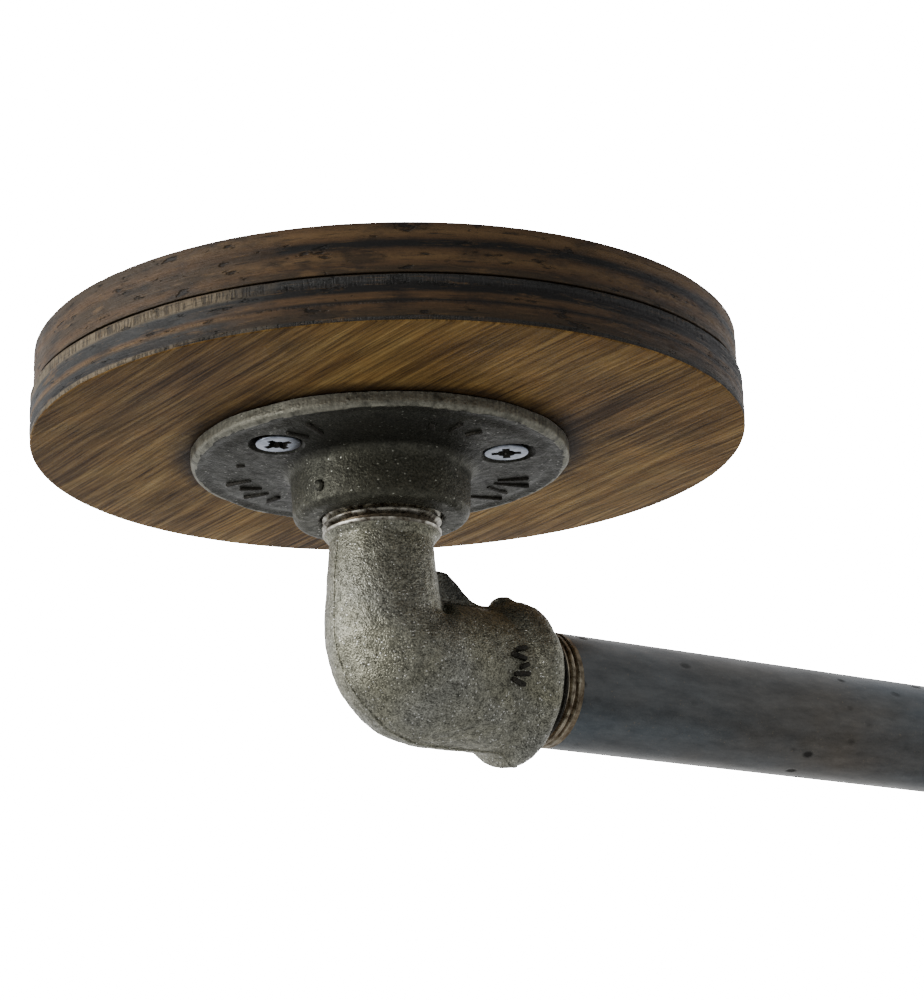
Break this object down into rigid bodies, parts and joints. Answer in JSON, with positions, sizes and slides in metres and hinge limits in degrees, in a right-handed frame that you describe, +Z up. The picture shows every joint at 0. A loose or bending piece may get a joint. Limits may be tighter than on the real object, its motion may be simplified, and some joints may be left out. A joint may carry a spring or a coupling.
{
  "type": "ceiling mounted pulley rack",
  "caption": "Ceiling rack: a black pipe rail between two plywood-and-flange end mounts with street elbows, carrying pulleys that slide, swing and turn.",
  "frame": {"origin": "on the ceiling plane, on the axis of the left floor flange", "axes": "+X along the rail from the left mount to the right, +Z up into the ceiling, +Y across the rail"},
  "size_m": [0.8152, 0.168, 0.1642],
  "materials": {
    "stained_plywood": "dark walnut stain, satin, plies showing on the edge",
    "cast_iron": "sand cast, oiled",
    "malleable_iron": "sand cast with a coarse sparkling skin",
    "mill_steel": "blue-grey mill scale, lightly oiled",
    "zinc_steel": "bright zinc plated",
    "bronze": "turned bronze, dulled",
    "forged_steel": "black oiled flat bar"
  },
  "bodies": {
    "rail_frame": {"left_ceiling_disc": "stained_plywood", "left_face_disc": "stained_plywood", "left_floor_flange": "cast_iron", "left_flange_screw_1": "zinc_steel", "left_flange_screw_2": "zinc_steel", "left_flange_screw_3": "zinc_steel", "left_street_elbow": "malleable_iron", "right_ceiling_disc": "stained_plywood", "right_face_disc": "stained_plywood", "right_floor_flange": "cast_iron", "right_flange_screw_1": "zinc_steel", "right_flange_screw_2": "zinc_steel", "right_flange_screw_3": "zinc_steel", "right_street_elbow": "malleable_iron", "rail_pipe": "mill_steel"},
    "left_slider": {"left_rail_sleeve": "bronze", "left_sleeve_ring": "bronze"},
    "left_hanger": {"left_hanger_strap": "forged_steel", "left_axle_bolt": "zinc_steel", "left_front_spacer": "zinc_steel", "left_back_spacer": "zinc_steel", "left_lock_washer": "zinc_steel", "left_axle_nut": "zinc_steel"},
    "left_wheel": {"left_sheave": "cast_iron", "left_sheave_bush": "bronze"},
    "right_slider": {"right_rail_sleeve": "bronze", "right_sleeve_ring": "bronze"},
    "right_hanger": {"right_hanger_strap": "forged_steel", "right_axle_bolt": "zinc_steel", "right_front_spacer": "zinc_steel", "right_back_spacer": "zinc_steel", "right_lock_washer": "zinc_steel", "right_axle_nut": "zinc_steel"},
    "right_wheel": {"right_sheave": "cast_iron", "right_sheave_bush": "bronze"}
  },
  "joints": [
    {"name": "left_sleeve_slide", "type": "slide", "parent": "rail_frame", "child": "left_slider", "axis": [1, 0, 0], "range_m": [-0.146, 0.06]},
    {"name": "left_hanger_swing", "type": "hinge", "parent": "left_slider", "child": "left_hanger", "pos_m": [0.2278, 0, -0.0702], "axis": [1, 0, 0], "range_deg": [-75, 75]},
    {"name": "left_wheel_spin", "type": "hinge", "parent": "left_hanger", "child": "left_wheel", "pos_m": [0.2278, 0, -0.1322], "axis": [0, 1, 0], "continuous": true},
    {"name": "right_sleeve_slide", "type": "slide", "parent": "rail_frame", "child": "right_slider", "axis": [1, 0, 0], "range_m": [-0.06, 0.146]},
    {"name": "right_hanger_swing", "type": "hinge", "parent": "right_slider", "child": "right_hanger", "pos_m": [0.4278, 0, -0.0702], "axis": [1, 0, 0], "range_deg": [-75, 75]},
    {"name": "right_wheel_spin", "type": "hinge", "parent": "right_hanger", "child": "right_wheel", "pos_m": [0.4278, 0, -0.1322], "axis": [0, 1, 0], "continuous": true}
  ]
}
